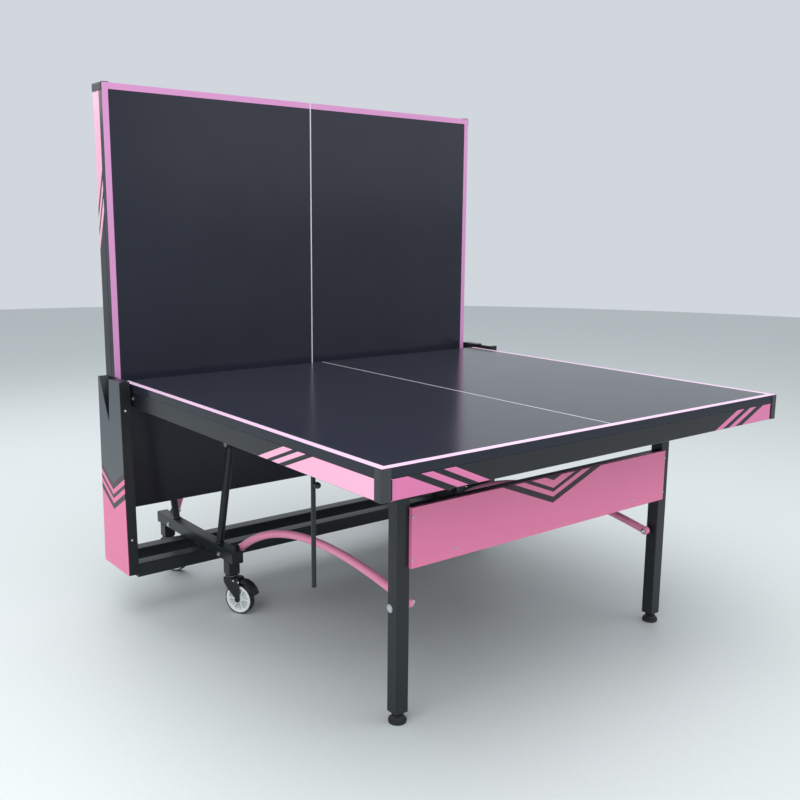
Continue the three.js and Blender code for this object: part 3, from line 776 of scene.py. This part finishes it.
for turn in range(THREAD_TURNS):
    root_z = THREAD_FOOT + turn * THREAD_PITCH
    crest_z = THREAD_FOOT + (turn + 0.5) * THREAD_PITCH
    thread += [(0.0052, root_z), (0.006, crest_z)]
thread += [(0.005, STEM_TOP), (0, STEM_TOP)]
for side, sign in (("left", -1), ("right", 1)):
    under_leg = (leg_pin.x, sign * LEG_Y, 0)
    foot = Shape().turned(pad, under_leg, (0, 0, 1), sides=56)
    foot.turned(collar, under_leg, (0, 0, 1), sides=48)
    foot.turned(thread, under_leg, (0, 0, 1), sides=24)
    node = "front_foot_" + side
    made = foot.piece(node + "_pad", node, rubber, "foot_rubber", [node])
    other = rear_name(node)
    again(made, other + "_pad", other, [other], legs_folded)

# ---- Curved links --------------------------------------------------------------------------
# Bent 24 mm steel tube, coated pink. One end turns on a bolt beside the caster beam and the
# other on the leg's bolt, so that with the post and the half they make a parallelogram.
pink_coat = coat("pink_tube_coat", paint(246, 148, 184), paint(250, 157, 192), 0.28)
LINK_RADIUS = 0.012
LINK_SIDES = 32
LINK_STEPS = 72
CROWN_RISE = 0.141
HANDLE_SHARES = (0.31, 0.7)
HANDLE_TILT = 0.02
span = link_leg_pin.x - link_pin.x
link_raised = to_far_side @ swung(link_pin)
mean_z = (link_pin.z + link_leg_pin.z) / 2
handle_z = mean_z + 4 / 3 * (link_pin.z + CROWN_RISE - mean_z)
handles = (
    link_pin,
    Vector((link_pin.x + HANDLE_SHARES[0] * span, 0, handle_z + HANDLE_TILT * span)),
    Vector((link_pin.x + HANDLE_SHARES[1] * span, 0, handle_z - HANDLE_TILT * span)),
    link_leg_pin)


def on_curve(share):
    """A point of the link's centre line and its direction there."""
    a, b, c, d = handles
    rest = 1 - share
    point = a * rest ** 3 + b * 3 * rest ** 2 * share + c * 3 * rest * share ** 2 + d * share ** 3
    way = (b - a) * rest ** 2 + (c - b) * 2 * rest * share + (d - c) * share ** 2
    return point, way.normalized()


across_table = Vector((0, 1, 0))
eye = [
    (0.0056, -0.008), (0.0115, -0.008), (0.0127, -0.0068), (0.0127, 0.0068),
    (0.0115, 0.008), (0.0056, 0.008)]
for side, sign in (("left", -1), ("right", 1)):
    middle = Vector((0, sign * LINK_Y, 0))
    link = Shape()
    rings = []
    for step in range(LINK_STEPS + 1):
        point, way = on_curve(step / LINK_STEPS)
        outer = way.cross(across_table)
        ring = []
        for i in range(LINK_SIDES):
            angle = 2 * math.pi * i / LINK_SIDES
            spoke = outer * math.cos(angle) + across_table * math.sin(angle)
            ring.append(point + middle + spoke * LINK_RADIUS)
        rings.append(ring)
    link.rings(rings)
    for pin in (link_pin, link_leg_pin):
        link.turned(eye, pin + middle, across_table, sides=40, closed=True)
    node = "front_link_" + side
    made = link.piece(node + "_bar", node, pink_coat, "pink_coat", [node])
    other = rear_name(node)
    again(made, other + "_bar", other, [other], link_raised)

# ---- Stay rods -----------------------------------------------------------------------------
# A 12 mm rod hangs from a pin on one side rail of each half, with a release knob below its
# eye. It props the half open while the legs are being folded.
ROD_REACH = 0.329
KNOB_DROP = 0.062
rod = Shape()
rod_bottom = STAY_PIN.z - ROD_REACH
knob_z = STAY_PIN.z - KNOB_DROP
rod.turned(
    [(0, 0), (0.0048, 0), (0.006, 0.0012), (0.006, 0.3155), (0.005, 0.3175), (0, 0.3175)],
    (STAY_PIN.x, STAY_PIN.y, rod_bottom), (0, 0, 1), sides=32)
rod.turned(
    [(0.0046, -0.005), (0.0108, -0.005), (0.012, -0.004), (0.012, 0.004), (0.0108, 0.005),
     (0.0046, 0.005)], STAY_PIN, (0, 1, 0), sides=40, closed=True)
rod.turned(
    [(0, 0), (0.003, 0), (0.003, 0.0125), (0.0065, 0.013), (0.008, 0.0145), (0.0082, 0.018),
     (0.0078, 0.022), (0.0062, 0.0248), (0.0035, 0.0258), (0, 0.026)],
    (STAY_PIN.x, STAY_PIN.y, knob_z), (1, 0, 0), sides=36)
stay_lift = swung(fold_pin) @ STAY_PIN - STAY_PIN
rod_hung = to_far_side @ Matrix.Translation(stay_lift)
made = rod.piece("front_stay_rod_bar", "front_stay_rod", frame_coat, "frame_black", ["front_stay_rod"])
again(made, "rear_stay_rod_bar", "rear_stay_rod", ["rear_stay_rod"], rod_hung)

# ---- Base rails ----------------------------------------------------------------------------
# Two 50 by 45 mm steel tubes lie across the trolley and carry both side frames. Their plugged
# ends meet the inner plates of the end covers.
trolley_fixings = Shape()
for node in ("base_rail_front", "base_rail_rear"):
    low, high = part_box(node)
    tube_skin(Shape(), low, high, 1, 0.004).piece(
        node + "_tube", "trolley", frame_coat, "frame_black", [node])

# ---- Side frames ---------------------------------------------------------------------------
# A welded frame on each side: a 40 mm square beam plugged at its ends, two leaning round posts
# that carry the halves, sockets for the casters, and plates with the links' lower bolts.
POST_CROWN = 0.012
POST_FOOT = 0.165
BEAM_REACH = 0.285
BEAM_LOW = 0.1753
BEAM_HIGH = 0.2153
BEAM_HALF = 0.020
STEM_X = 0.243
CASTER_TOP = 0.1317
BEAM_BOLT_X = 0.1918
BEAM_BOLT_HEIGHT = 0.012
for side, sign in (("left", -1), ("right", 1)):
    y = sign * POST_Y
    body = tube_skin(
        Shape(), (net_x - BEAM_REACH, y - BEAM_HALF, BEAM_LOW),
        (net_x + BEAM_REACH, y + BEAM_HALF, BEAM_HIGH), 0, 0.0032)
    for end in (-1, 1):
        eye_at = Vector((net_x + end * (fold_pin.x - net_x), y, fold_pin.z))
        root = Vector((net_x + end * POST_FOOT, y, BEAM_HIGH - 0.001))
        way = (eye_at - root).normalized()
        rise = (eye_at - root).length
        body.turned(
            [(0, 0), (0.0165, 0), (0.0161, 0.0022), (0.0138, 0.0042), (0.0125, 0.0062),
             (0.0125, rise - POST_CROWN), (0, rise - POST_CROWN)], root, way, sides=40)
        body.turned(
            [(0.0066, -0.0125), (0.0148, -0.0125), (0.016, -0.0114), (0.016, 0.0114),
             (0.0148, 0.0125), (0.0066, 0.0125)], eye_at, (0, 1, 0), sides=44, closed=True)
        socket_x = net_x + end * STEM_X
        tube_skin(
            body, (socket_x - BEAM_HALF, y - BEAM_HALF, CASTER_TOP + SEAT),
            (socket_x + BEAM_HALF, y + BEAM_HALF, BEAM_LOW), 2, 0.003, lip=0.0006)
        inner_y = y - sign * BEAM_HALF
        pin_x = net_x + end * (link_pin.x - net_x)
        body.turned(
            [(0, -0.001), (0.012, -0.001), (0.012, 0.0022), (0.0112, 0.003), (0, 0.003)],
            (pin_x, inner_y, link_pin.z), (0, -sign, 0), sides=36)
        reach = abs(inner_y) - (LINK_Y - LINK_PIN_INWARDS)
        body.turned(
            [(0, 0), (0.005, 0), (0.005, reach - 0.001), (0.004, reach), (0, reach)],
            (pin_x, inner_y, link_pin.z), (0, -sign, 0), sides=24)
        trolley_fixings.turned(
            CAP_NUT, (pin_x, sign * (LINK_Y - LINK_NUT_INWARDS), link_pin.z), (0, -sign, 0), sides=6)
        for way in (-sign, sign):
            trolley_fixings.hex_bolt(
                (net_x + end * BEAM_BOLT_X, y + way * BEAM_HALF, BEAM_LOW + BEAM_BOLT_HEIGHT),
                (0, way, 0), 0.0058, 0.005)
    node = "side_frame_" + side
    body.piece(node + "_weldment", "trolley", frame_coat, "frame_black", [node])

# ---- End covers ----------------------------------------------------------------------------
# A folded 2 mm sheet over a flat inner plate stands at each side of the trolley. A leaning
# notch in its top leaves two prongs. The lower part is printed pink under two thin chevrons.
cover_coat = coat("cover_coat", paint(64, 70, 79), paint(74, 80, 89), 0.3)
COVER_SLOPE = 0.57
PRINT_TOP = 0.343
PRINT_STRIPES = ((0.3625, 0.3795), (0.3925, 0.4095))
PRINT_INK = (0.34, 0.43)
cover_line = cover_coat.z - abs(cover_coat.x - net_x) * COVER_SLOPE
cover_pink = striped(cover_line, PRINT_TOP, PRINT_STRIPES)
cover_ink = cover_line.between(*PRINT_INK)
cover_face = abs(cover_coat.y) > abs(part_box("side_cover_left")[0].y) - INK_SKIN
cover_shade = cover_coat.mixed(cover_ink * cover_face, cover_coat.colour, paint(50, 36, 44))
cover_inside = cover_coat.mixed(cover_face, paint(22, 26, 29), cover_shade)
cover_print = cover_coat.mixed(cover_coat.cloud, paint(238, 117, 163), paint(245, 126, 171))
cover_coat.feed("Base Color", cover_coat.mixed(cover_pink * cover_face, cover_inside, cover_print))
PLATE_SCREW_X = 0.07
PLATE_SCREW_HEIGHTS = (0.1955, 0.2195)
COVER_TOP = 0.771
COVER_BOTTOM = 0.143
COVER_TOP_HALF = 0.087
COVER_FLARE = 0.013
COVER_SCREW_Y = 0.794
COVER_SCREW_HEIGHTS = (0.68, 0.26)
COVER_SIDE_TILT = 0.0207
for side, sign in (("left", -1), ("right", 1)):
    Shape().cad("side_cover_" + side).piece(
        "side_cover_" + side + "_sheet", "trolley", cover_coat, "cover_grey",
        ["side_cover_" + side], bevel=0.0007)
    Shape().cad("inner_plate_" + side).piece(
        "inner_plate_" + side + "_sheet", "trolley", frame_coat, "frame_black",
        ["inner_plate_" + side], bevel=0.0004)
    inner_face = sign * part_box("inner_plate_right")[0].y
    for x in (-PLATE_SCREW_X, PLATE_SCREW_X):
        for z in PLATE_SCREW_HEIGHTS:
            trolley_fixings.screw((net_x + x, inner_face, z), (0, -sign, 0), 0.0042)
    for z in COVER_SCREW_HEIGHTS:
        edge = COVER_TOP_HALF + COVER_FLARE * (COVER_TOP - z) / (COVER_TOP - COVER_BOTTOM)
        for way in (-1, 1):
            trolley_fixings.screw(
                (net_x + way * edge, sign * COVER_SCREW_Y, z), (way, 0, COVER_SIDE_TILT), 0.0036)
trolley_fixings.piece("trolley_bolts", "trolley", zinc, "zinc")

# ---- Casters -------------------------------------------------------------------------------
# Pressed black forks turn on a ball race under each socket and trail a 100 mm wheel with a
# white nylon hub and a thin black tyre. A moulded pedal over the tyre presses on the brake.
fork_steel = coat("caster_black_steel", paint(22, 26, 28), paint(29, 33, 35), 0.4)
pedal_plastic = coat("pedal_nylon", paint(20, 22, 24), paint(27, 29, 31), 0.48)
hub_white = Finish("white_nylon", IOR=1.5)
hub_dust_and_shade_mottle = hub_white.noise(70, 4)
hub_unshaded_white = hub_white.mixed(hub_dust_and_shade_mottle, paint(226, 231, 229), paint(240, 243, 241))
HUB_WEB = 0.0062
# The recessed web within HUB_WEB of the hub's middle is painted grey: painted shade in the recess, mottled
# by the same noise.
hub_recess_painted_shade = (abs(hub_white.y) < HUB_WEB) * (0.35 + hub_dust_and_shade_mottle * 0.5)
hub_white.feed("Base Color", hub_white.mixed(hub_recess_painted_shade, hub_unshaded_white, paint(160, 167, 166)))
hub_white.feed("Roughness", 0.36 + hub_dust_and_shade_mottle * 0.15)
hub_white.relief(hub_dust_and_shade_mottle, 0.00015, 0.4)
tyre_black = Finish("tyre_rubber", IOR=1.45)
tyre_scuff = tyre_black.noise(240, 4)
tyre_black.feed("Base Color", tyre_black.mixed(tyre_scuff, paint(28, 29, 30), paint(44, 45, 46)))
tyre_black.feed("Roughness", 0.6 + tyre_scuff * 0.2)
tyre_black.relief(tyre_scuff, 0.0002, 0.5)

TRAIL = 0.030
WHEEL = 0.050
HEADING = math.radians(27)
RACE_BOTTOM = CASTER_TOP - 0.009
CROWN_BOTTOM = RACE_BOTTOM - 0.004
CHEEK_IN = 0.014
CHEEK_OUT = 0.017
CROWN_END = TRAIL + 0.004
CASTER_STEM_TOP = 0.1637
axle = Vector((TRAIL, 0, WHEEL))


def arc(centre_x, centre_z, radius, start, stop, steps):
    """Points along an arc in the wheel's plane, angles in degrees."""
    points = []
    for step in range(steps + 1):
        angle = math.radians(start + (stop - start) * step / steps)
        points.append((centre_x + radius * math.cos(angle), centre_z + radius * math.sin(angle)))
    return points


fork = Shape()
fork.turned(
    [(0, RACE_BOTTOM), (0.006, RACE_BOTTOM), (0.006, CASTER_STEM_TOP - 0.0012),
     (0.005, CASTER_STEM_TOP), (0, CASTER_STEM_TOP)],
    (0, 0, 0), (0, 0, 1), sides=32)
fork.turned(
    [(0, 0.1217), (0.0186, 0.1217), (0.021, 0.1232), (0.0218, 0.1252), (0.0205, 0.1268),
     (0.0212, 0.1278), (0.022, 0.1292), (0.0214, 0.1309), (0.019, 0.1317), (0, 0.1317)],
    (0, 0, 0), (0, 0, 1), sides=56)
crown_outline = [
    (CROWN_END, -CHEEK_OUT), (CROWN_END, CHEEK_OUT), (0.0, CHEEK_OUT),
    (-0.012, 0.0165), (-0.019, 0.011), (-0.022, 0.0), (-0.019, -0.011), (-0.012, -0.0165),
    (0.0, -CHEEK_OUT)]
fork.prism(crown_outline, (0, 0, CROWN_BOTTOM), (1, 0, 0), (0, 1, 0), RACE_BOTTOM - CROWN_BOTTOM)
cheek = [
    (-0.022, RACE_BOTTOM - 0.003), (-0.0215, CROWN_BOTTOM - 0.014), (-0.008, 0.084),
    (0.0205, 0.0545)]
cheek += arc(TRAIL, WHEEL, 0.008, 190, 360, 20)
cheek += [(TRAIL + 0.0078, 0.085), (TRAIL + 0.0085, 0.112), (CROWN_END, RACE_BOTTOM)]
cheek += [(-0.016, RACE_BOTTOM)]
for face in (-CHEEK_IN, CHEEK_OUT):
    fork.prism(cheek, (0, face, 0), (1, 0, 0), (0, 0, 1), CHEEK_OUT - CHEEK_IN)
for way in (-1, 1):
    fork.hex_bolt((TRAIL, way * CHEEK_OUT, WHEEL), (0, way, 0), 0.0066, 0.0029)
fork_first = fork.piece(
    "caster_fork_front_left_steel", "caster_fork_front_left", fork_steel, "caster_steel",
    ["caster_fork_front_left"], bevel=0.0006)

bolts = Shape()
for way in (-1, 1):
    bolts.screw((TRAIL - 0.014, way * CHEEK_OUT, 0.112), (0, way, 0), 0.0036)
    bolts.screw((TRAIL + 0.0055, way * CHEEK_OUT, 0.1101), (0, way, 0), 0.0036)
AXLE_END = CHEEK_OUT + 0.001
bolts.turned(
    [(0, -AXLE_END), (0.004, -AXLE_END), (0.004, AXLE_END), (0, AXLE_END)],
    axle, (0, 1, 0), sides=28)
BALLS = 20
BALL_CIRCLE = 0.0207
BALL_HEIGHT = 0.1268
BALL_RADIUS = 0.0013
BALL_STEPS = 8
ball = [(0, -BALL_RADIUS)]
for step in range(1, BALL_STEPS):
    angle = math.pi * step / BALL_STEPS
    ball.append((BALL_RADIUS * math.sin(angle), -BALL_RADIUS * math.cos(angle)))
ball.append((0, BALL_RADIUS))
for i in range(BALLS):
    angle = 2 * math.pi * i / BALLS
    centre = (BALL_CIRCLE * math.cos(angle), BALL_CIRCLE * math.sin(angle), BALL_HEIGHT)
    bolts.turned(ball, centre, (0, 0, 1), sides=12)
bolts_first = bolts.piece("caster_bolts_front_left", "caster_fork_front_left", zinc, "zinc")

hub = Shape()
dish = [
    (0.0125, 0.0122), (0.0140, 0.0118), (0.0150, 0.0100), (0.0165, 0.0052), (0.0185, 0.0042),
    (0.0330, 0.0042), (0.0350, 0.0055), (0.0365, 0.0100), (0.0378, 0.0115), (0.0448, 0.0115),
    (0.0458, 0.0105)]
profile = [(0.0046, -0.0122)] + [(radius, -along) for radius, along in dish]
profile += dish[::-1] + [(0.0046, 0.0122)]
hub.turned(profile, axle, (0, 1, 0), sides=72, closed=True)
spoke = [
    (0.0142, -0.0030), (0.0200, -0.0018), (0.0310, -0.0018), (0.0372, -0.0034),
    (0.0372, 0.0034), (0.0310, 0.0018), (0.0200, 0.0018), (0.0142, 0.0030)]
SPOKES = 6
for i in range(SPOKES):
    angle = 2 * math.pi * i / SPOKES
    outwards = Vector((math.cos(angle), 0, math.sin(angle)))
    sideways = Vector((-math.sin(angle), 0, math.cos(angle)))
    for way in (-1, 1):
        low_edge, high_edge = sorted((way * 0.0040, way * 0.0104))
        hub.prism(spoke, axle + Vector((0, high_edge, 0)), outwards, sideways, high_edge - low_edge)
hub_first = hub.piece(
    "caster_hub_front_left", "caster_wheel_front_left", hub_white, "wheel_white",
    ["caster_wheel_front_left"])
tyre = [
    (0.0459, -0.0108), (0.0472, -0.012), (0.0484, -0.0118), (0.0496, -0.0102), (0.05, -0.0076),
    (0.05, 0.0076), (0.0496, 0.0102), (0.0484, 0.0118), (0.0472, 0.012), (0.0459, 0.0108)]
tyre_first = Shape().turned(tyre, axle, (0, 1, 0), sides=96, closed=True).piece(
    "caster_tyre_front_left", "caster_wheel_front_left", tyre_black, "tyre_black")

pedal = Shape()
PEDAL_IN = 0.058
PEDAL_OUT = 0.063
TREAD_IN = 0.0598
TREAD_OUT = 0.0670
PEDAL_HALF = 0.013
TREAD_HALF = 0.017
RIDGE_HALF = 0.015
RIDGES = 5
HINGE_RADIUS = 0.0025
hinge_x = CROWN_END + HINGE_RADIUS + SEAT
start = math.degrees(math.acos((hinge_x - TRAIL - HINGE_RADIUS) / PEDAL_IN))
stop = math.degrees(math.acos(0.054 / PEDAL_OUT))
outline = arc(TRAIL, WHEEL, PEDAL_IN, start, 70, 6) + arc(TRAIL, WHEEL, TREAD_IN, 68, stop, 18)
outline += [(0.0955, 0.0725), (0.0972, 0.0775), (0.0890, 0.0940), (0.0740, 0.1085)]
outline += [(0.0560, 0.1168), (hinge_x + 0.002, 0.1165), (hinge_x, 0.1145)]
pedal.prism(outline, (0, PEDAL_HALF, 0), (1, 0, 0), (0, 0, 1), 2 * PEDAL_HALF)
tread = arc(TRAIL, WHEEL, TREAD_OUT, stop - 1, 60, 12)
tread += arc(TRAIL, WHEEL, TREAD_IN, 60, stop - 1, 12)
pedal.prism(tread, (0, TREAD_HALF, 0), (1, 0, 0), (0, 0, 1), 2 * TREAD_HALF)
for way in (-1, 1):
    cheek_side = arc(TRAIL, WHEEL, 0.0640, stop, 62, 12) + arc(TRAIL, WHEEL, 0.0505, 62, stop, 12)
    low_edge, high_edge = sorted((way * 0.0138, way * 0.0158))
    pedal.prism(cheek_side, (0, high_edge, 0), (1, 0, 0), (0, 0, 1), high_edge - low_edge)
for i in range(RIDGES):
    ridge = arc(TRAIL, WHEEL, PEDAL_OUT + 0.0056, 34 + i * 5, 36 + i * 5, 2)
    ridge += arc(TRAIL, WHEEL, PEDAL_OUT + 0.0035, 36 + i * 5, 34 + i * 5, 2)
    pedal.prism(ridge, (0, RIDGE_HALF, 0), (1, 0, 0), (0, 0, 1), 2 * RIDGE_HALF)
pedal_first = pedal.piece(
    "caster_pedal_front_left_arm", "caster_pedal_front_left", pedal_plastic, "pedal_plastic",
    ["caster_pedal_front_left"], bevel=0.0012, segments=3)

firsts = (
    (fork_first, "caster_fork_{}_steel", "caster_fork_{}", "caster_steel", "caster_fork_{}"),
    (bolts_first, "caster_bolts_{}", "caster_fork_{}", "zinc", None),
    (hub_first, "caster_hub_{}", "caster_wheel_{}", "wheel_white", "caster_wheel_{}"),
    (tyre_first, "caster_tyre_{}", "caster_wheel_{}", "tyre_black", None),
    (pedal_first, "caster_pedal_{}_arm", "caster_pedal_{}", "pedal_plastic", "caster_pedal_{}"),
)
for row, end in (("front", 1), ("rear", -1)):
    for side, sign in (("left", -1), ("right", 1)):
        spot = row + "_" + side
        stem = Matrix.Translation((net_x + end * STEM_X, sign * POST_Y, 0))
        place = stem @ Matrix.Rotation(HEADING, 4, "Z")
        for first, name, body, slot_name, node in firsts:
            if spot == "front_left":
                first.parent = None
                tied(first, body.format(spot), place=place)
            else:
                nodes = [node.format(spot)] if node else []
                again(first, name.format(spot), body.format(spot), nodes, place)

size = {"cad": [list(corner) for corner in cad_box], "visual": [list(corner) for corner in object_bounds()]}
